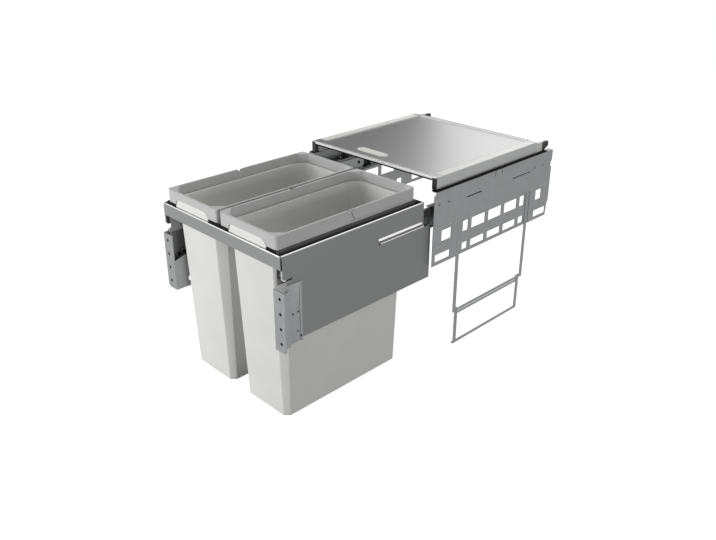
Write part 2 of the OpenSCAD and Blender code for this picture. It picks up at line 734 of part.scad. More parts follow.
// Outline of a bin at its rim, drawn in from the collar's outside by inset
module bin_outline(inset, r) translate([bin_cx, bin_cy]) rounded(bin_w - 2 * inset, bin_l - 2 * inset, r);

// Outline with slanted corners, drawn in by x and y from the collar's outside
module slanted(x, y, cut) {
    w = bin_w / 2 - x;
    l = bin_l / 2 - y;
    translate([bin_cx, bin_cy])
        polygon([[w, cut - l], [w, l - cut], [w - cut, l], [cut - w, l],
                 [-w, l - cut], [-w, cut - l], [cut - w, -l], [w - cut, -l]]);
}
// Share of an inset that a slanted corner loses when it keeps its distance
corner_share = 2 - sqrt(2);
module cut_outline(inset) slanted(inset, inset, corner_cut - (inset - collar_w) * corner_share);

// Tapered body with slanted corners and a round bottom edge, drawn in by t all round
module bucket_body(t, z0, z1) {
    e = bucket_edge_r - (t > 0 ? 1 : 0);
    x = body_in + taper_x;
    y = body_in + taper_y;
    hull() {
        translate([0, 0, z1 - 0.01]) linear_extrude(0.01) cut_outline(body_in + t);
        for (a = [0 : 30 : 90]) let (inset = t + e * (1 - cos(a)))
            translate([0, 0, z0 + e * (1 - sin(a))]) linear_extrude(0.01)
                slanted(x + inset, y + inset, foot_cut - inset * corner_share);
    }
}

module bucket(s) color(bucket_grey) on_side(s) {
    difference() {
        bucket_body(0, -bucket_drop, mouth_z);
        bucket_body(bucket_wall, -bucket_drop + bucket_wall, mouth_z + over);
    }
    // Bearing rim, which carries the collar
    translate([0, 0, rim_z]) linear_extrude(rim_h) difference() {
        bin_outline(clear, collar_r);
        cut_outline(wall_in + 1);
    }
    // Mouth that turns out and down inside the collar
    translate([0, 0, mouth_z - bucket_wall]) linear_extrude(bucket_wall) difference() {
        cut_outline(wall_in);
        cut_outline(body_in + 1);
    }
    translate([0, 0, rim_z]) linear_extrude(mouth_z - rim_z) difference() {
        cut_outline(wall_in);
        cut_outline(wall_in + bucket_wall);
    }
    // Grip lip that shows in the collar's front
    intersection() {
        along_x(bin_cx - lip_w / 2, lip_w)
            polygon([[bin_y0 + clear, rim_z + rim_h - 1], [bin_y0 + 0.6, lip_z - 4],
                     [bin_y0 + 1.4, lip_z - 1.4], [bin_y0 + 2.6, lip_z], [bin_y0 + 3.6, lip_z],
                     [bin_y0 + 3.6, rim_z + rim_h - 1]]);
        translate([bin_cx, bin_y0 + 10, 0]) rotate([90, 0, 0]) linear_extrude(20)
            lip_outline(lip_w - 2, lip_z - clear);
    }
}

// Outline of the lip and of the collar's cut-out, with round upper corners
module lip_outline(w, z) {
    flat(-w / 2, w / 2, -4, z - 9);
    flat(-w / 2 + 9, w / 2 - 9, -4, z);
    for (x = [-1, 1]) translate([x * (w / 2 - 9), z - 9]) circle(9);
}

module collar(s) color(collar_grey) on_side(s) {
    wall_x = handle_t + clear;
    difference() {
        translate([0, 0, collar_base]) linear_extrude(collar_top - collar_base) difference() {
            bin_outline(0, collar_r);
            cut_outline(collar_w);
        }
        // Cut-out for the bucket's grip lip
        translate([bin_cx, bin_y0 + collar_w + 0.2, 0]) rotate([90, 0, 0]) linear_extrude(collar_w + over)
            lip_outline(lip_w, lip_z + 0.5);
        // Recess that the folded handle lies in
        difference() {
            box(bin_x0 - over, bin_x1 + over, pivot_y - 13.3, bin_y1 + over,
                handle_base - clear, collar_top + over);
            translate([0, 0, handle_base - over]) linear_extrude(collar_top) intersection() {
                bin_outline(wall_x, collar_r - wall_x + 1);
                flat(bin_x0, bin_x1, bin_y0, bin_y1 - handle_t - swing_gap);
            }
        }
        // Finger notch in front of the pivots
        for (x = [bin_x0, bin_x1])
            box(x - 5, x + 5, pivot_y - 19, pivot_y - 13, collar_top - 4, collar_top + over);
    }
    // Pivot pins
    for (k = [0, 1]) translate([k == 0 ? bin_x0 + 0.5 : bin_x1 - wall_x - 0.5, pivot_y, pivot_z])
        rotate([0, 90, 0]) cylinder(r = pivot_r, h = wall_x);
}

module handle(s) color(collar_grey) on_side(s) difference() {
    translate([0, 0, handle_base]) linear_extrude(collar_top - handle_base) difference() {
        bin_outline(0, collar_r);
        bin_outline(handle_t, collar_r - handle_t);
    }
    // Slanted front ends of both arms
    standing(-over, bin_x1 + 2 * over)
        polygon([[-over, -over], [pivot_y, -over], [pivot_y, handle_base], [pivot_y - 9, pivot_z + 7],
                 [pivot_y - 1, collar_top], [pivot_y - 1, collar_top + over], [-over, collar_top + over]]);
    for (x = [bin_x0, bin_x1]) translate([x, pivot_y, pivot_z]) rotate([0, 90, 0])
        cylinder(r = pivot_r + 0.1, h = 20, center = true);
}

// Lid board

module lid_sheet() color(bright_steel) place() difference() {
    w = lid_x - 14.2;
    union() {
        box(-w, w, lid_y0 + lid_trim_d + clear, lid_y1 - 8, sheet_z, lid_under);
        // Stiffening folds at the front and the rear
        box(-w, w, lid_y0 + lid_trim_d + clear, lid_y0 + lid_trim_d + clear + lid_t, sheet_z - 5, sheet_z);
        box(-w, w, lid_y1 - 8 - lid_t, lid_y1 - 8, sheet_z - 5, sheet_z);
    }
    translate([grip_x, lid_y0 + 41, 0]) linear_extrude(lid_top) pill(grip_l + 0.6, grip_w + 0.6);
}

module lid_profile(s) color(nylon) on_side(s) {
    y0 = lid_y0 + lid_trim_d + clear;
    along_y(y0, lid_y1 - y0) {
        flat(lid_x - lid_profile_w, lid_x, lid_under, lid_top);
        flat(lid_x - 14, lid_x - 14 + lid_t, lid_top - 11, lid_top);
    }
    along_y(lid_y0 + 3, lid_d - 3) flat(lid_x - lid_t, lid_x, strip_z + 0.6, lid_top);
}

module lid_front_trim() color(steel) place() {
    w = lid_x - lid_t - 0.2;
    lip = cap_x - clear;
    groove_y = lid_y0 + 4.5;
    along_x(-w, 2 * w) polygon([[lid_y0 + lid_trim_d, lid_top], [lid_y0 + lid_trim_d, lid_under],
        [lid_y0, lid_under], [lid_y0, lid_top - 0.5], [lid_y0 + 0.5, lid_top], [groove_y, lid_top],
        [groove_y, lid_top - 0.6], [groove_y + 1.5, lid_top - 0.6], [groove_y + 1.5, lid_top]]);
    box(-lip, lip, lid_y0, lid_y0 + lid_t, lid_top - 5, lid_under);
}

module lid_rear_trim() color(nylon) place() {
    w = lid_x - lid_profile_w - 0.2;
    along_x(-w, 2 * w) polygon([[lid_y1 - 8, sheet_z - 5], [lid_y1, sheet_z - 5], [lid_y1, lid_top + 2],
        [lid_y1 - 1, lid_top + 2.5], [lid_y1 - 6, lid_top + 2.5], [lid_y1 - 8, lid_under]]);
}

// Finger cup let into the sheet
module lid_grip() color(nylon) place() translate([grip_x, lid_y0 + 41, 0]) {
    floor_z = sheet_z - 6.5;
    translate([0, 0, lid_under]) linear_extrude(0.8) difference() {
        pill(grip_l + 5, grip_w + 5);
        pill(grip_l - 3, grip_w - 3);
    }
    translate([0, 0, floor_z]) linear_extrude(lid_under - floor_z) difference() {
        pill(grip_l, grip_w);
        pill(grip_l - 3, grip_w - 3);
    }
    translate([0, 0, floor_z]) linear_extrude(1.2) pill(grip_l, grip_w);
}

// End caps of the side profiles, under the front trim
cap_x = lid_x - 11.5;
cap_z = strip_z + 0.4;
module lid_caps() color(black_plastic) for (s = [1, -1]) on_side(s) {
    w = lid_x - cap_x;
    h = lid_under - 0.2 - cap_z;
    translate([(cap_x + lid_x) / 2, lid_y0 + 2.7, cap_z + h / 2]) rotate([90, 0, 0])
        linear_extrude(2.7) rounded(w, h, 1.5);
    box(cap_x + 1, lid_x - lid_t - clear, lid_y0 + 2.7, lid_y0 + 9, cap_z + 1, cap_z + h);
}

// Pads that the lid glides on
module lid_sliders() color(black_plastic) for (s = [1, -1], y = [lid_y0 + 30, lid_y1 - 34]) on_side(s)
    box(guide_x0 + 1, guide_x1 - 1, y, y + 28, guide_top + clear, lid_under);

module lid_seal() color(black_plastic) place()
    box(-lid_x + 16, lid_x - 16, lid_y0 + 2, lid_y0 + 6, lid_under - 8, lid_under);

right = 1;
left = -1;
side_plate(right);  // side_plate_right
side_plate(left);  // side_plate_left
upper_stand(right);  // upper_stand_right
upper_stand(left);  // upper_stand_left
lower_stand(right);  // lower_stand_right
lower_stand(left);  // lower_stand_left
rail_carrier(right);  // rail_carrier_right
rail_carrier(left);  // rail_carrier_left
carrier_rivets();
fixed_rail(right);  // fixed_rail_right
fixed_rail(left);  // fixed_rail_left
rail_guide(right);  // rail_guide_right
rail_guide(left);  // rail_guide_left
soft_close(right);  // soft_close_right
soft_close(left);  // soft_close_left
clamp_knobs();
guide_strip(right);  // guide_strip_right
guide_strip(left);  // guide_strip_left
lid_guide(right);  // lid_guide_right
lid_guide(left);  // lid_guide_left
lid_stops();
outer_cage(right);  // outer_cage_right
outer_cage(left);  // outer_cage_left
middle_rail(right);  // middle_rail_right
middle_rail(left);  // middle_rail_left
rail_stop(right);  // rail_stop_right
rail_stop(left);  // rail_stop_left
inner_cage(right);  // inner_cage_right
inner_cage(left);  // inner_cage_left
drawer_rail(right);  // drawer_rail_right
drawer_rail(left);  // drawer_rail_left
inner_rail(right);  // inner_rail_right
inner_rail(left);  // inner_rail_left
side_panel(right);  // side_panel_right
side_panel(left);  // side_panel_left
front_rail();
rear_rail();
bin_seat_side(right);  // bin_seat_right
bin_seat_side(left);  // bin_seat_left
bin_seat_front();
bin_seat_rear();
bin_seat_centre();
front_bracket(right);  // front_bracket_right
front_bracket(left);  // front_bracket_left
bracket_screws();
bucket(right);  // bucket_right
bucket(left);  // bucket_left
collar(right);  // collar_right
collar(left);  // collar_left
handle(right);  // handle_right
handle(left);  // handle_left
lid_sheet();
lid_profile(right);  // lid_profile_right
lid_profile(left);  // lid_profile_left
lid_front_trim();
lid_rear_trim();
lid_grip();
lid_caps();
lid_sliders();
lid_seal();
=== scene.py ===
import json
import math

import bmesh
import bpy
import numpy as np
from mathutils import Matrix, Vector

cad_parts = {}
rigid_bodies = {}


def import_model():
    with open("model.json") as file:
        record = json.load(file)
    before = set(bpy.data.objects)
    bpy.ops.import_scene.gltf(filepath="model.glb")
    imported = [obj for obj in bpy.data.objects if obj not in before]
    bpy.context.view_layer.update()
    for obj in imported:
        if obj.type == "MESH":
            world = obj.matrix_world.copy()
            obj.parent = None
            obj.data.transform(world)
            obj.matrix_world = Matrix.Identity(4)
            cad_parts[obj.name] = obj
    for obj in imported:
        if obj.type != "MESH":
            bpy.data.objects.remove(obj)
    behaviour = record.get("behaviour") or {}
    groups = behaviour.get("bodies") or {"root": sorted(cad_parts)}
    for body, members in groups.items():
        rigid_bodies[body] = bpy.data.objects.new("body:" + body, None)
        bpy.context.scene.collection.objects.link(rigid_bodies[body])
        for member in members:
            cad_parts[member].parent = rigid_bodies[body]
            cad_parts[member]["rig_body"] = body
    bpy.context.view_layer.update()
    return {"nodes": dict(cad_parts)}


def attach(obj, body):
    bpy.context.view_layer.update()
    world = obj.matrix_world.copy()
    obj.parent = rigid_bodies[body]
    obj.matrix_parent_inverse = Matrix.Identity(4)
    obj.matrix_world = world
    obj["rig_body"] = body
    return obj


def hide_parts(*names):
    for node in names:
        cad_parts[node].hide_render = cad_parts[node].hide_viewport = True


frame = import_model()
print("frame loaded:", len(frame["nodes"]), "solids")

# The drawer's own datum, in millimetres: x from the middle, y from the drawer's front, z from its top edge
datum = {"y": 437.3, "z": 394.0}
bothSides = (("right", 1), ("left", -1))


def toRow(points):
    # millimetres from the drawer's datum to metres from the cabinet floor
    return (np.array(points, float) + np.array([0.0, -datum["y"], datum["z"]])) / 1000.0


def addObject(name, data):
    thing = bpy.data.objects.new(name, data)
    bpy.context.scene.collection.objects.link(thing)
    return thing


# The photo's viewpoint: angles in degrees, distance and target in millimetres from the datum, and the focal
# length and optical centre in pixels of the photo's frame
cameraSetup = {"azimuth": 45.51, "elevation": 23.83, "distance": 1829.45, "target": (-24.01, 400.0, -162.77),
               "focalPixels": 761.61, "centre": (353.65, 242.12), "frame": (716, 540),
               "sensorWidth": 36.0, "clipEnd": 50.0}


def buildCamera(s):
    a, e = math.radians(s["azimuth"]), math.radians(s["elevation"])
    back = Vector((math.sin(a) * math.cos(e), -math.cos(a) * math.cos(e), math.sin(e)))
    width, height = s["frame"]
    data = bpy.data.cameras.new("camera")
    data.sensor_fit = "HORIZONTAL"
    data.sensor_width = s["sensorWidth"]
    data.lens = s["focalPixels"] / width * s["sensorWidth"]
    data.shift_x = (width / 2 - s["centre"][0]) / width
    data.shift_y = (s["centre"][1] - height / 2) / width
    data.clip_end = s["clipEnd"]
    camera = addObject("camera", data)
    camera.location = Vector(toRow(s["target"])) + back * s["distance"] / 1000.0
    camera.rotation_euler = back.to_track_quat("Z", "Y").to_euler()
    bpy.context.scene.camera = camera


buildCamera(cameraSetup)
print("camera placed")


def linear(hexCode):
    # sRGB hex to linear light
    c = np.array([int(hexCode[i:i + 2], 16) for i in (1, 3, 5)]) / 255.0
    c = np.where(c <= 0.04045, c / 12.92, ((c + 0.055) / 1.055) ** 2.4)
    return (float(c[0]), float(c[1]), float(c[2]), 1.0)


def addNode(tree, kind, sockets=None, **settings):
    # one node, its settings and its inputs: a socket is linked, anything else is set
    node = tree.nodes.new(kind)
    for key, value in settings.items():
        setattr(node, key, value)
    for key, value in (sockets or {}).items():
        if isinstance(value, bpy.types.NodeSocket):
            tree.links.new(value, node.inputs[key])
        else:
            node.inputs[key].default_value = value
    return node


def emptyMaterial(name):
    material = bpy.data.materials.new(name)
    material.use_nodes = True
    material.node_tree.nodes.clear()
    return material, material.node_tree


def closeMaterial(tree, shader):
    addNode(tree, "ShaderNodeOutputMaterial", {"Surface": shader.outputs[0]})


def patternedSurface(tree, look, tintBy, roughBy, raisedBy, height, sockets):
    # One pattern mixes the dark and the light colour, one moves the roughness between its two values, and one
    # raises the surface by up to the height
    tint = addNode(tree, "ShaderNodeMix", {0: tintBy, 6: linear(look["dark"]), 7: linear(look["light"])},
                   data_type="RGBA")
    rough = addNode(tree, "ShaderNodeMapRange", {0: roughBy, 3: look["rough"][0], 4: look["rough"][1]})
    bump = addNode(tree, "ShaderNodeBump", {"Height": raisedBy, "Strength": look["bump"], "Distance": height})
    shader = addNode(tree, "ShaderNodeBsdfPrincipled", {
        "Base Color": tint.outputs[2], "Roughness": rough.outputs[0], "Normal": bump.outputs[0], **sockets})
    closeMaterial(tree, shader)


def mouldedPlastic(name, look):
    # Injection-moulded plastic or rubber: a barely clouded colour under a spark-eroded grain, which turns the
    # gloss into a soft sheen. The grain is drawn at just under a millimetre, coarser than the real one, so that
    # it shows.
    material, tree = emptyMaterial(name)
    place = addNode(tree, "ShaderNodeTexCoord").outputs["Object"]
    cloud = addNode(tree, "ShaderNodeTexNoise", {"Vector": place, "Scale": 1 / look["cloudSize"],
                                                 "Detail": 3.0})
    grain = addNode(tree, "ShaderNodeTexNoise", {"Vector": place, "Scale": 1 / look["grainSize"], "Detail": 2.0,
                                                 "Roughness": 0.6}).outputs["Fac"]
    patternedSurface(tree, look, cloud.outputs["Fac"], grain, grain, look["grainHeight"],
                     {"IOR": 1.49, "Specular IOR Level": look["shine"]})
    return material


def coatedSteel(name, look):
    # Silver-grey powder coat on sheet steel: a faint orange peel, with flakes that give a soft metallic sheen.
    # The flakes are drawn at over half a millimetre, coarser than the real ones, so that they show.
    material, tree = emptyMaterial(name)
    place = addNode(tree, "ShaderNodeTexCoord").outputs["Object"]
    flake = addNode(tree, "ShaderNodeTexVoronoi", {"Vector": place, "Scale": 1 / look["flakeSize"]})
    peel = addNode(tree, "ShaderNodeTexNoise", {"Vector": place, "Scale": 1 / look["peelSize"],
                                                "Detail": 1.0}).outputs["Fac"]
    patternedSurface(tree, look, flake.outputs["Distance"], peel, peel, look["peelHeight"],
                     {"Metallic": look["metal"]})
    return material


def rolledMetal(name, look):
    # Galvanised sheet and anodised profiles: cold grey, with fine lines along the rolling direction and a
    # cloudy bloom. The lines are drawn about a millimetre apart, coarser than the real ones, so that they show.
    material, tree = emptyMaterial(name)
    place = addNode(tree, "ShaderNodeTexCoord").outputs["Object"]
    along = addNode(tree, "ShaderNodeMapping", {"Vector": place, "Scale": look["lineStretch"]})
    lines = addNode(tree, "ShaderNodeTexNoise", {"Vector": along.outputs[0], "Scale": 1 / look["lineSize"],
                                                 "Detail": 2.0}).outputs["Fac"]
    bloom = addNode(tree, "ShaderNodeTexNoise", {"Vector": place, "Scale": 1 / look["bloomSize"],
                                                 "Detail": 4.0}).outputs["Fac"]
    mixed = addNode(tree, "ShaderNodeMix", {0: look["bloomShare"], 2: lines, 3: bloom}).outputs[0]
    patternedSurface(tree, look, mixed, mixed, lines, look["lineHeight"], {"Metallic": look["metal"]})
    return material


def brushedSheet(name, look):
    # Brushed stainless sheet: belt marks along x that streak the colour, the gloss and the surface. They are
    # drawn about a millimetre apart, coarser than the real ones, so that they show.
    material, tree = emptyMaterial(name)
    place = addNode(tree, "ShaderNodeTexCoord").outputs["Object"]
    along = addNode(tree, "ShaderNodeMapping", {"Vector": place, "Scale": look["markStretch"]})
    marks = addNode(tree, "ShaderNodeTexNoise", {"Vector": along.outputs[0], "Scale": 1 / look["markSize"],
                                                 "Detail": 5.0, "Roughness": 0.65}).outputs["Fac"]
    patternedSurface(tree, look, marks, marks, marks, look["markHeight"], {"Metallic": 1.0})
    return material


# Sizes and heights of the patterns are in metres
finishes = {
    "bucket": mouldedPlastic("mouldedPolypropyleneLight", {
        "dark": "#dededc", "light": "#e8e8e6", "cloudSize": 0.06, "grainSize": 0.0009, "grainHeight": 0.00006,
        "bump": 0.35, "rough": (0.42, 0.55), "shine": 0.5}),
    "collar": mouldedPlastic("mouldedPolypropyleneGrey", {
        "dark": "#bababb", "light": "#c5c5c4", "cloudSize": 0.05, "grainSize": 0.0009, "grainHeight": 0.00006,
        "bump": 0.35, "rough": (0.4, 0.52), "shine": 0.5}),
    "acetal": mouldedPlastic("mouldedAcetal", {
        "dark": "#d4d4d1", "light": "#e2e2df", "cloudSize": 0.03, "grainSize": 0.0007, "grainHeight": 0.00003,
        "bump": 0.2, "rough": (0.28, 0.36), "shine": 0.5}),
    "black": mouldedPlastic("mouldedAbsBlack", {
        "dark": "#151516", "light": "#202021", "cloudSize": 0.02, "grainSize": 0.0008, "grainHeight": 0.00005,
        "bump": 0.3, "rough": (0.38, 0.5), "shine": 0.5}),
    "rubber": mouldedPlastic("extrudedRubber", {
        "dark": "#070707", "light": "#0e0e0e", "cloudSize": 0.01, "grainSize": 0.0006, "grainHeight": 0.00004,
        "bump": 0.3, "rough": (0.7, 0.85), "shine": 0.12}),
    "drawer": coatedSteel("powderCoatedSteel", {
        "dark": "#888989", "light": "#979898", "flakeSize": 0.0006, "peelSize": 0.0012, "peelHeight": 0.00004,
        "bump": 0.25, "rough": (0.38, 0.48), "metal": 0.35}),
    "plate": rolledMetal("zincPlatedSheet", {
        "dark": "#9a9b9c", "light": "#b2b3b4", "lineStretch": (1.0, 0.06, 1.0), "lineSize": 0.0012,
        "lineHeight": 0.0001, "bloomSize": 0.02, "bloomShare": 0.45, "bump": 0.2, "rough": (0.34, 0.48),
        "metal": 0.85}),
    "runner": rolledMetal("rolledZincSteel", {
        "dark": "#949596", "light": "#acadae", "lineStretch": (1.0, 0.03, 1.0), "lineSize": 0.0009,
        "lineHeight": 0.0001, "bloomSize": 0.03, "bloomShare": 0.45, "bump": 0.2, "rough": (0.22, 0.34),
        "metal": 1.0}),
    # near-white steel for the hems, the panels' rolled front edges and the hood slopes: a painted highlight,
    # far brighter than the drawer's own coat
    "hem": rolledMetal("paintedHighlightHemSteel", {
        "dark": "#eaeaea", "light": "#f6f6f6", "lineStretch": (1.0, 0.03, 1.0), "lineSize": 0.0009,
        "lineHeight": 0.0001, "bloomSize": 0.03, "bloomShare": 0.45, "bump": 0.1, "rough": (0.2, 0.3),
        "metal": 1.0}),
    "seat": mouldedPlastic("mouldedPolyamideDark", {
        "dark": "#505050", "light": "#5a5a5a", "cloudSize": 0.03, "grainSize": 0.0008, "grainHeight": 0.00005,
        "bump": 0.3, "rough": (0.5, 0.6), "shine": 0.3}),
    "lidSheet": brushedSheet("brushedStainlessSheet", {
        "dark": "#dcdcdc", "light": "#ececec", "markStretch": (0.012, 1.0, 1.0), "markSize": 0.0009,
        "markHeight": 0.00005, "bump": 0.3, "rough": (0.3, 0.42)}),
    "aluminium": rolledMetal("anodisedAluminium", {
        "dark": "#bcbdbd", "light": "#cacbcb", "lineStretch": (1.0, 0.02, 1.0), "lineSize": 0.0008,
        "lineHeight": 0.0001, "bloomSize": 0.05, "bloomShare": 0.45, "bump": 0.12, "rough": (0.3, 0.4),
        "metal": 0.9}),
}
print("materials made:", len(finishes))


def skin(rings):
    # quads between neighbouring rings, and a flat face on the first and last ring
    count, around = rings.shape[:2]
    index = np.arange(count * around).reshape(count, around)
    nextRound = np.roll(index, -1, axis=1)
    quads = np.stack([index[:-1], nextRound[:-1], nextRound[1:], index[1:]], axis=2).reshape(-1, 4).tolist()
    return quads + [index[0][::-1].tolist(), index[-1].tolist()]


def smoothShading(mesh, degrees):
    # edges over the angle stay sharp
    mesh.shade_smooth()
    mesh.set_sharp_from_angle(angle=math.radians(degrees))


def ringPiece(name, rings, finish, body, smoothAngle, mergeDistance=1e-6):
    # A closed piece from rings in the datum's millimetres, its doubles merged and its faces turned outwards
    mesh = bpy.data.meshes.new(name)
    mesh.from_pydata(toRow(rings.reshape(-1, 3)).tolist(), [], skin(rings))
    mesh.materials.append(finishes[finish])
    work = bmesh.new()
    work.from_mesh(mesh)
    bmesh.ops.remove_doubles(work, verts=work.verts, dist=mergeDistance)
    bmesh.ops.recalc_face_normals(work, faces=work.faces)
    work.to_mesh(mesh)
    work.free()
    smoothShading(mesh, smoothAngle)
    piece = addObject(name, mesh)
    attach(piece, body)
    return piece


def slantedRings(centre, halfX, halfY, cut, fillet, z, perBend=4):
    # One ring for each entry of the arrays: a rectangle whose corners are slanted by the cut. Each of its eight
    # bends is an arc of 45 degrees, whose tangent length is the fillet radius times tan(22.5 degrees).
    leastCut, mostOfSlant = 0.02, 0.98  # keep a bend from shrinking to a point or overrunning its slant
    halfX, halfY, cut, fillet, z = (np.asarray(v, float)[:, None, None] for v in (halfX, halfY, cut, fillet, z))
    reach = np.tan(np.pi / 8)
    cut = np.maximum(cut, leastCut)
    fillet = np.minimum(fillet, cut * math.sqrt(2) / (2 * reach) * mostOfSlant)
    turn = np.linspace(0, np.pi / 4, perBend)[None, None, :]
    start = (np.arange(8) * np.pi / 4)[None, :, None]
    angle = start + turn
    # Bends from the +x side round: each arc's centre lies a fillet radius inside the two sides that it joins
    signX = np.array([1, 1, -1, -1, -1, -1, 1, 1])[None, :, None]
    signY = np.array([1, 1, 1, 1, -1, -1, -1, -1])[None, :, None]
    onSide = np.array([True, False, False, True, True, False, False, True])[None, :, None]
    cornerX = np.where(onSide, halfX, halfX - cut)
    cornerY = np.where(onSide, halfY - cut, halfY)
    centreX = signX * (cornerX - np.where(onSide, fillet, fillet * reach))
    centreY = signY * (cornerY - np.where(onSide, fillet * reach, fillet))
    x = centre[0] + centreX + fillet * np.cos(angle)
    y = centre[1] + centreY + fillet * np.sin(angle)
    return np.stack([x, y, z + 0 * x], axis=3).reshape(len(halfX), -1, 3)


# A bucket, in millimetres: its middle, the half sizes of its collar's outside, its heights, and how far in from
# the collar's outside each part of it lies. A cut is the length that a slanted corner takes off each side.
bucketShape = {
    "centreX": 92.0, "centreY": 193.15, "outerX": 88.3, "outerY": 188.55,
    "bottom": -385.0, "mouthTop": 13.0, "bodyInset": 9.4, "taperX": 12.0, "taperY": 14.7,
    "mouthCut": 18.5, "footCut": 11.1, "fillet": 2.4, "wall": 2.2, "floorExtra": 0.3,
    "edge": 4.0, "innerEdge": 3.0, "edgeTop": 12.0, "baseRise": 1.6, "baseInsets": (24.0, 15.0, 13.4, 9.0),
    "rimUnder": 7.1, "rimUnderCut": 16.0, "rimUnderFillet": 4.0, "rimInset": 0.35, "rimEdge": 0.6,
    "rimBase": -8.2, "rimTop": 4.5, "rimRadius": 8.0, "turnInset": 4.9, "turnCut": 21.1,
    "mouthRadius": 1.3, "mouthMiddle": 0.4, "bevelAcross": 0.7, "bevelDown": 0.8, "insideStart": 2.0,
    "bendRings": 6, "wallRings": 24}
cornerLoss = 2 - math.sqrt(2)  # what a slanted corner loses for each millimetre of inset


def onBody(s, z, inset):
    # Rings of the tapered body, as insets in x and y, cuts, fillets and heights: each inset is the body's own
    # plus the taper times its share of the way down, and the cut shrinks likewise
    down = (s["mouthTop"] - z) / (s["mouthTop"] - s["bottom"])
    cut = s["mouthCut"] + (s["footCut"] - s["mouthCut"]) * down - inset * cornerLoss
    return np.stack([s["bodyInset"] + s["taperX"] * down + inset, s["bodyInset"] + s["taperY"] * down + inset,
                     cut, np.full(len(z), s["fillet"]), z])


def bucketOutside(s):
    # from the raised middle of the base, round its edge in a quarter circle, and up the wall
    turn = np.linspace(0, np.pi / 2, s["bendRings"])
    low, e, count = s["bottom"], s["edge"], s["wallRings"]
    z = np.concatenate([[low + s["baseRise"]] * 2, [low] * 2, low + e - e * np.cos(turn),
                        np.linspace(low + s["edgeTop"], s["rimBase"], count)])
    return onBody(s, z, np.concatenate([s["baseInsets"], e - e * np.sin(turn), np.zeros(count)]))


def bucketInside(s):
    # down the inner wall, round the edge of the floor in a quarter circle, and in to the floor's middle
    turn = np.linspace(0, np.pi / 2, s["bendRings"])[::-1]
    low, wall, e, count = s["bottom"], s["wall"], s["innerEdge"], s["wallRings"]
    floor = low + wall + s["floorExtra"]
    z = np.concatenate([np.linspace(s["mouthTop"] - s["insideStart"], low + s["edgeTop"], count),
                        floor + e - e * np.cos(turn), [floor]])
    inset = np.concatenate([np.full(count, wall), wall + e - e * np.sin(turn), [wall + s["baseInsets"][0]]])
    return onBody(s, z, inset)


def bucketRim(s):
    # under the rim, round its outside, up to the mouth with its turned and rounded edge, and in to the wall
    rim, e, base, rimTop = s["rimInset"], s["rimEdge"], s["rimBase"], s["rimTop"]
    turned, bend, middle = s["turnInset"], s["mouthRadius"], s["mouthMiddle"]
    top, inner = s["mouthTop"], s["bodyInset"] + s["wall"]
    inset = np.array([s["rimUnder"], rim + e, rim, rim, rim + e, turned,
                      turned, turned + middle, turned + bend, inner - s["bevelAcross"], inner])
    z = np.array([base, base, base + e, rimTop - e, rimTop, rimTop,
                  top - bend, top - middle, top, top, top - s["bevelDown"]])
    cut = np.concatenate([[s["rimUnderCut"]], [s["rimRadius"] * cornerLoss] * 4,
                          s["turnCut"] - (inset[5:] - turned) * cornerLoss])
    fillet = np.array([s["rimUnderFillet"]] + [s["rimRadius"]] * 4 + [s["fillet"]] * 6)
    return np.stack([inset, inset, cut, fillet, z])


def buildBucket(side, sign, s):
    insetX, insetY, cut, fillet, z = np.concatenate([bucketOutside(s), bucketRim(s), bucketInside(s)], axis=1)
    rings = slantedRings((sign * s["centreX"], s["centreY"]), s["outerX"] - insetX, s["outerY"] - insetY,
                         cut, fillet, z)
    piece = ringPiece("bucketShell_" + side, rings, "bucket", "bin_" + side, 30)
    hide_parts("bucket_" + side)


# The grip lip on the front of each mouth, in millimetres. Its two ends fall off over different lengths.
lipShape = {"width": 114.0, "top": 16.7, "base": 3.6, "leastHeight": 0.2, "leftEnd": 6.0, "rightEnd": 30.0,
            "drop": 13.0, "front": 4.9, "back": 8.2, "bulge": 0.5, "lean": 1.2, "leanFrom": 0.8,
            "columns": 81, "rows": 9}


def buildLip(side, sign, s):
    # A strip whose top follows a quarter ellipse at both ends. Its front bulges by a sine over its height, and
    # leans back in a straight line near the top.
    x = np.sin(np.linspace(-np.pi / 2, np.pi / 2, s["columns"])) * s["width"] / 2
    end = np.where(x < 0, s["leftEnd"], s["rightEnd"])
    beyond = np.clip((np.abs(x) - (s["width"] / 2 - end)) / end, 0, 1)
    top = np.maximum(s["top"] - s["drop"] * (1 - np.sqrt(1 - beyond ** 2)), s["base"] + s["leastHeight"])
    step = np.linspace(0, 1, s["rows"])
    z = s["base"] + (top[:, None] - s["base"]) * step
    front = s["front"] + s["bulge"] - s["bulge"] * np.sin(np.pi * step)
    front += s["lean"] * np.clip(step - s["leanFrom"], 0, 1) / (1 - s["leanFrom"])
    x = sign * bucketShape["centreX"] + x[:, None] + 0 * z
    faceRow = np.stack([x, front + 0 * z, z], axis=2)
    backRow = np.stack([x, s["back"] + 0 * z, z], axis=2)[:, ::-1]
    rings = np.concatenate([faceRow, backRow], axis=1)
    piece = ringPiece("bucketLip_" + side, rings, "bucket", "bin_" + side, 40)


for side, sign in bothSides:
    buildBucket(side, sign, bucketShape)
    buildLip(side, sign, lipShape)
print("buckets made")

# How a solid is dressed: distances in metres, angles in degrees
dressing = {"merge": 2e-6, "flatAngle": 1, "sharpAngle": 30, "bevelSegments": 2}


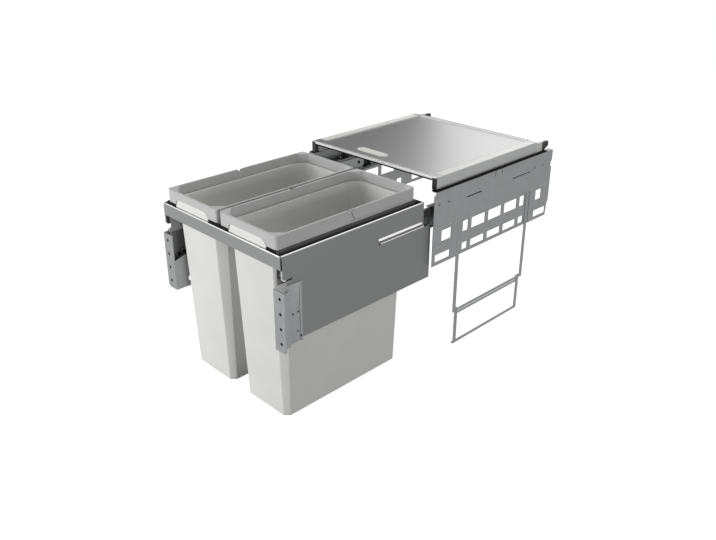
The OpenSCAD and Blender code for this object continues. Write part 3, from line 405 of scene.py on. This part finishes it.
def dressSolid(node, finish, bevel, s):
    # A copy of the solid, merged and with its flat triangles joined, and bevelled so that its edges catch light
    source = frame["nodes"][node]
    mesh = source.data.copy()
    mesh.name = node + "_dressed"
    work = bmesh.new()
    work.from_mesh(mesh)
    bmesh.ops.remove_doubles(work, verts=work.verts, dist=s["merge"])
    bmesh.ops.dissolve_limit(work, angle_limit=math.radians(s["flatAngle"]), verts=work.verts, edges=work.edges)
    work.to_mesh(mesh)
    work.free()
    mesh.materials.clear()
    mesh.materials.append(finishes[finish])
    smoothShading(mesh, s["sharpAngle"])
    piece = addObject(node + "_dressed", mesh)
    if bevel:
        change = piece.modifiers.new("edge", "BEVEL")
        change.width = bevel
        change.segments = s["bevelSegments"]
        change.limit_method = "ANGLE"
        change.angle_limit = math.radians(s["sharpAngle"])
        change.use_clamp_overlap = True
        change.harden_normals = True
    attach(piece, source["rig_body"])
    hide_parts(node)


# Solids by finish, with the width of their bevel in metres. A star stands for the right one and the left one.
dressed = {
    "drawer": {"side_panel_*": 0.0003, "front_rail": 0.0003, "rear_rail": 0.0003, "inner_rail_*": 0.0003},
    "plate": {"front_bracket_*": 0.0004, "side_plate_*": 0.0003, "upper_stand_*": 0.0003,
              "lower_stand_*": 0.0003, "rail_carrier_*": 0.0003},
    "runner": {"fixed_rail_*": 0.0002, "middle_rail_*": 0.0002, "drawer_rail_*": 0.0002,
               "carrier_rivets": 0.0002},
    "black": {"rail_guide_*": 0.0005, "soft_close_*": 0.0006, "clamp_knobs": 0.0, "lid_stops": 0.001,
              "lid_caps": 0.0004, "lid_sliders": 0.0005, "bracket_screws": 0.0002, "rail_stop_*": 0.0005,
              "outer_cage_*": 0.0, "inner_cage_*": 0.0},
    "acetal": {"lid_guide_*": 0.0006},
    "rubber": {"guide_strip_*": 0.0004, "lid_seal": 0.0005, "bin_seat_front": 0.0003, "bin_seat_rear": 0.0003,
               "bin_seat_centre": 0.0003},
    "lidSheet": {"lid_sheet": 0.0003, "lid_front_trim": 0.0003},
    "aluminium": {"lid_profile_*": 0.0003, "lid_rear_trim": 0.0005},
    "collar": {"collar_*": 0.0009, "handle_*": 0.0006},
    "seat": {"bin_seat_*": 0.0003},
}
solids = [(pattern.replace("*", side), finish, bevel) for finish, patterns in dressed.items()
          for pattern, bevel in patterns.items() for side in (("right", "left") if "*" in pattern else ("",))]
for node, finish, bevel in solids:
    dressSolid(node, finish, bevel, dressing)
print("solids dressed:", len(solids))


def bead(name, path, radius, finish, body, around=12):
    # A round bead along a path: at each point a circle square to the mean of the two neighbouring steps. At a
    # bend it widens by one over the cosine of half the bend's angle, at most to double.
    p = np.array(path, float)
    step = np.diff(p, axis=0)
    step /= np.linalg.norm(step, axis=1)[:, None]
    along = np.concatenate([step[:1], step[:-1] + step[1:], step[-1:]])
    length = np.linalg.norm(along, axis=1)[:, None]
    stretch = 1 / np.maximum(length / 2, 0.5)
    stretch[[0, -1]] = 1  # the path's two ends aren't bends
    along /= length
    alongX = abs(step[0, 0]) >= 0.9
    side = np.cross(along, np.array([0.0, 0.0, 1.0] if alongX else [1.0, 0.001, 0.002]))
    side /= np.linalg.norm(side, axis=1)[:, None]
    other = np.cross(along, side)
    angle = np.linspace(0, 2 * np.pi, around, endpoint=False)[None, :, None]
    rings = p[:, None] + radius * (np.cos(angle) * side[:, None] * stretch[:, None]
                                   + np.sin(angle) * other[:, None])
    ringPiece(name, rings, finish, body, 50)


def prism(name, sign, s, finish, body):
    # An outline in x and z, mirrored by the sign and drawn out along y
    x, z = np.array(s["section"]).T
    y = np.array([[s["startY"]], [s["endY"]]])
    ringPiece(name, np.stack([sign * x + 0 * y, y + 0 * x, z + 0 * y], axis=2), finish, body, 30)


panelX = 194.0  # outside of the drawer's side panels
# Hems that close the drawer's top edges, in millimetres: their radius, how far in the side ones lie from the
# panel's outside, and where they run. Their near-white finish paints a highlight along the top edges.
hem = {"radius": 1.7, "inset": 0.9, "topZ": -0.75, "sideStart": 3.0, "sideEnd": 392.0, "frontX": 193.0,
       "frontY": 0.9}
# The rolled front edge of each panel, in y and z: down from the front rail, then round the notch in an arc.
# Its near-white hem finish paints a highlight along the edge.
frontEdge = {"radius": 1.35, "proud": 0.6, "startY": 1.9, "startZ": -29.5, "notchY": 9.4, "notchZ": -43.0,
             "notchRadius": 7.5, "arcStart": 180.0, "arcEnd": 275.0, "arcPoints": 9}
# The hood over the slot: a sloping face that mirrors what is above it, in the near-white hem finish, which
# paints a highlight on it
hood = {"section": [(193.5, -43.5), (201.5, -50.4), (202.0, -51.0), (202.0, -52.0), (193.5, -52.0)],
        "startY": 255.8, "endY": 389.6}
# White strip along the top of each of the lid's side profiles: a painted highlight on their tops
strip = {"section": [(176.0, 46.8), (176.4, 47.3), (197.2, 47.3), (198.2, 46.6), (198.2, 45.8), (176.0, 45.8)],
         "startY": 453.5, "endY": 802.0}


def buildFrontEdge(side, sign, s):
    turn = np.radians(np.linspace(s["arcStart"], s["arcEnd"], s["arcPoints"]))
    y = np.append(s["startY"], s["notchY"] + s["notchRadius"] * np.cos(turn))
    z = np.append(s["startZ"], s["notchZ"] + s["notchRadius"] * np.sin(turn))
    x = sign * (panelX + s["proud"]) + 0 * y
    bead("frontEdge_" + side, np.stack([x, y, z], axis=1), s["radius"], "hem", "drawer")


# Black plugs that fill the brackets' fixing holes and paint the shade inside them, in millimetres: the top
# one's place, their pitch and size, and the dish in their face
holeShadePlugs = {"x": 190.2, "y": -1.1, "z": -86.5, "count": 4, "pitch": 32.0, "radius": 3.45, "depth": 2.4,
         "dish": 0.5, "dishEdge": 0.45, "edge": 0.5, "slopeEnd": 0.8, "middle": 0.3, "around": 32}


def buildHoleShadePlugs(side, sign, s):
    # A plug is a profile of depths and radii spun about y
    r = s["radius"]
    profile = np.array([(s["dish"], s["middle"]), (s["dishEdge"], r - s["slopeEnd"]), (0.0, r - s["edge"]),
                        (0.0, r), (s["depth"], r), (s["depth"], s["middle"])])
    depth, radius = profile.T[:, :, None]
    angle = np.linspace(0, 2 * np.pi, s["around"], endpoint=False)
    x = sign * s["x"] + radius * np.cos(angle)
    y = s["y"] + depth + 0 * x
    for i in range(s["count"]):
        z = s["z"] - i * s["pitch"] - radius * np.sin(angle)
        ringPiece("bracketHoleShadePlug%d_%s" % (i + 1, side), np.stack([x, y, z], axis=2), "rubber", "drawer", 40)


# hems, rolled front edges and hood slopes take the near-white hem finish: a painted highlight on the drawer's
# edges
for side, sign in bothSides:
    hemX = sign * (panelX - hem["inset"])
    bead("panelHem_" + side, [(hemX, hem["sideStart"], hem["topZ"]), (hemX, hem["sideEnd"], hem["topZ"])],
         hem["radius"], "hem", "drawer")
    buildFrontEdge(side, sign, frontEdge)
    prism("hoodSlope_" + side, sign, hood, "hem", "drawer")
    # black plugs in the bracket holes: painted shade
    buildHoleShadePlugs(side, sign, holeShadePlugs)
bead("frontHem", [(-hem["frontX"], hem["frontY"], hem["topZ"]), (hem["frontX"], hem["frontY"], hem["topZ"])],
     hem["radius"], "hem", "drawer")
# white strips on the profile tops paint the highlight along them
for side, sign in bothSides:
    prism("profileHighlightStrip_" + side, sign, strip, "acetal", "lid")
print("hems and plugs made")

# The finger cup in the lid, in millimetres: its middle, half length, end radius, rim, heights, depth and wall
cup = {"x": -31.0, "y": 469.0, "half": 45.5, "radius": 12.5, "rim": 1.6, "rimEdge": 0.6, "rimRound": 0.5,
       "roundDrop": 0.4, "sheetTop": 45.9, "under": 45.8, "top": 46.6, "fall": 0.3, "depth": 6.6, "wall": 1.0,
       "leastRadius": 0.4, "bowlPower": 0.6, "bowlRings": 14, "around": 64}


def buildCup(c):
    # Rings of a pill outline, each at its own inset: over the rim, down the cup by a power of one minus a
    # cosine, then back along its underside
    step = np.linspace(0, np.pi / 2, c["bowlRings"])
    r, edge, wall = c["radius"], c["rimEdge"], c["wall"]
    bowlInset = c["rim"] + (r - c["rim"] - c["leastRadius"]) * np.sin(step)
    bowlZ = c["top"] - c["fall"] - c["depth"] * (1 - np.cos(step)) ** c["bowlPower"]
    inset = np.concatenate([[edge, 0.0, 0.0, c["rimRound"]], bowlInset, [r - c["leastRadius"]],
                            bowlInset[::-1][1:-1] - edge, [edge]])
    z = np.concatenate([[c["sheetTop"], c["sheetTop"], c["top"] - c["roundDrop"], c["top"]], bowlZ,
                        [bowlZ[-1] - wall], bowlZ[::-1][1:-1] - wall, [c["under"]]])
    angle = np.linspace(0, 2 * np.pi, c["around"], endpoint=False)[None, :]
    straight = c["half"] - r
    radius = (r - inset)[:, None]
    x = c["x"] + np.where(np.cos(angle) >= 0, 1, -1) * straight + radius * np.cos(angle)
    y = c["y"] + radius * np.sin(angle)
    piece = ringPiece("gripCup", np.stack([x, y, z[:, None] + 0 * x], axis=2), "acetal", "lid", 40)
    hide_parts("lid_grip")


buildCup(cup)
print("grip cup made")

# The floor's lift and mirror are how much white it adds for the camera, and for what mirrors it
studio = {"floorSize": 60.0, "floorDrop": 0.0004, "floorColour": "#5c5c5c", "floorLift": 0.99,
          "floorMirror": 0.5, "worldLight": 0.15}
# Square area lamps, in watts and metres. The top one isn't mirrored, because its image would blot out the lid.
lamps = {
    "keyLamp": {"power": 88.0, "size": 1.6, "place": (-1.1, -3.2, 0.8), "aim": (0.0, -0.1, 0.25),
                "mirrored": True},
    "topLamp": {"power": 70.0, "size": 1.0, "place": (-0.6, 1.8, 2.2), "aim": (0.0, 0.2, 0.4),
                "mirrored": False},
    "sideLamp": {"power": 35.0, "size": 1.4, "place": (3.0, -0.2, 0.55), "aim": (0.0, 0.0, 0.25),
                 "mirrored": True},
}
# A dark card, seen in reflections only: its size and middle in metres, and its turn about z in degrees
card = {"width": 2.6, "height": 2.4, "place": (-2.36, 1.23, 1.15), "turn": 62.0, "colour": "#141414"}


def rayMask(tree, *kinds):
    # 1 for a ray of any of these kinds, and 0 for every other
    path = addNode(tree, "ShaderNodeLightPath")
    mask = path.outputs[kinds[0]]
    for kind in kinds[1:]:
        mask = addNode(tree, "ShaderNodeMath", {0: mask, 1: path.outputs[kind]}, operation="MAXIMUM").outputs[0]
    return mask


def stageSheet(name, corners, material):
    # one flat face that isn't part of the object
    mesh = bpy.data.meshes.new(name)
    mesh.from_pydata(corners, [], [(0, 1, 2, 3)])
    mesh.materials.append(material)
    sheet = addObject(name, mesh)
    return sheet


def buildWorld(s):
    # a dim light on the object, and white where the camera, a reflection or glass sees the world itself
    world = bpy.data.worlds.new("studio")
    bpy.context.scene.world = world
    world.use_nodes = True
    tree = world.node_tree
    tree.nodes.clear()
    seen = rayMask(tree, "Is Camera Ray", "Is Glossy Ray", "Is Transmission Ray")
    strength = addNode(tree, "ShaderNodeMapRange", {0: seen, 3: s["worldLight"], 4: 1.0})
    light = addNode(tree, "ShaderNodeBackground", {"Color": (1, 1, 1, 1), "Strength": strength.outputs[0]})
    addNode(tree, "ShaderNodeOutputWorld", {"Surface": light.outputs[0]})


def buildFloor(s):
    # A matt floor that keeps the shadow. It is lifted to white only where it is seen, and about half as much
    # where it is mirrored, so that upright metal doesn't turn white.
    material, tree = emptyMaterial("studioFloor")
    lift = addNode(tree, "ShaderNodeMath", {0: rayMask(tree, "Is Camera Ray", "Is Transmission Ray"),
                                            1: s["floorLift"]}, operation="MULTIPLY")
    lift = addNode(tree, "ShaderNodeMath", {0: rayMask(tree, "Is Glossy Ray"), 1: s["floorMirror"],
                                            2: lift.outputs[0]}, operation="MULTIPLY_ADD")
    matt = addNode(tree, "ShaderNodeBsdfDiffuse", {"Color": linear(s["floorColour"])})
    glow = addNode(tree, "ShaderNodeEmission", {"Color": (1, 1, 1, 1), "Strength": lift.outputs[0]})
    both = addNode(tree, "ShaderNodeAddShader", {0: matt.outputs[0], 1: glow.outputs[0]})
    closeMaterial(tree, both)
    half, z = s["floorSize"] / 2, -s["floorDrop"]
    stageSheet("floor", [(-half, -half, z), (half, -half, z), (half, half, z), (-half, half, z)], material)


def buildLamp(name, s):
    data = bpy.data.lights.new(name, "AREA")
    data.energy = s["power"]
    data.size = s["size"]
    lamp = addObject(name, data)
    lamp.location = s["place"]
    lamp.rotation_euler = (Vector(s["place"]) - Vector(s["aim"])).to_track_quat("Z", "Y").to_euler()
    lamp.visible_glossy = s["mirrored"]


def buildCard(s):
    # gives the polished lid something darker to mirror on its left
    material, tree = emptyMaterial("studioCard")
    closeMaterial(tree, addNode(tree, "ShaderNodeEmission", {"Color": linear(s["colour"]), "Strength": 1.0}))
    turn = math.radians(s["turn"])
    across = np.array([math.cos(turn), math.sin(turn), 0.0]) * s["width"] / 2
    up = np.array([0.0, 0.0, s["height"] / 2])
    middle = np.array(s["place"])
    corners = [tuple(middle + i * across + j * up) for i, j in ((-1, -1), (1, -1), (1, 1), (-1, 1))]
    sheet = stageSheet("card", corners, material)
    sheet.visible_camera = sheet.visible_diffuse = sheet.visible_shadow = sheet.visible_transmission = False


buildWorld(studio)
buildFloor(studio)
buildCard(card)
for name, lamp in lamps.items():
    buildLamp(name, lamp)
bpy.context.scene.view_settings.view_transform = "Standard"
print("studio made")

bpy.context.view_layer.update()
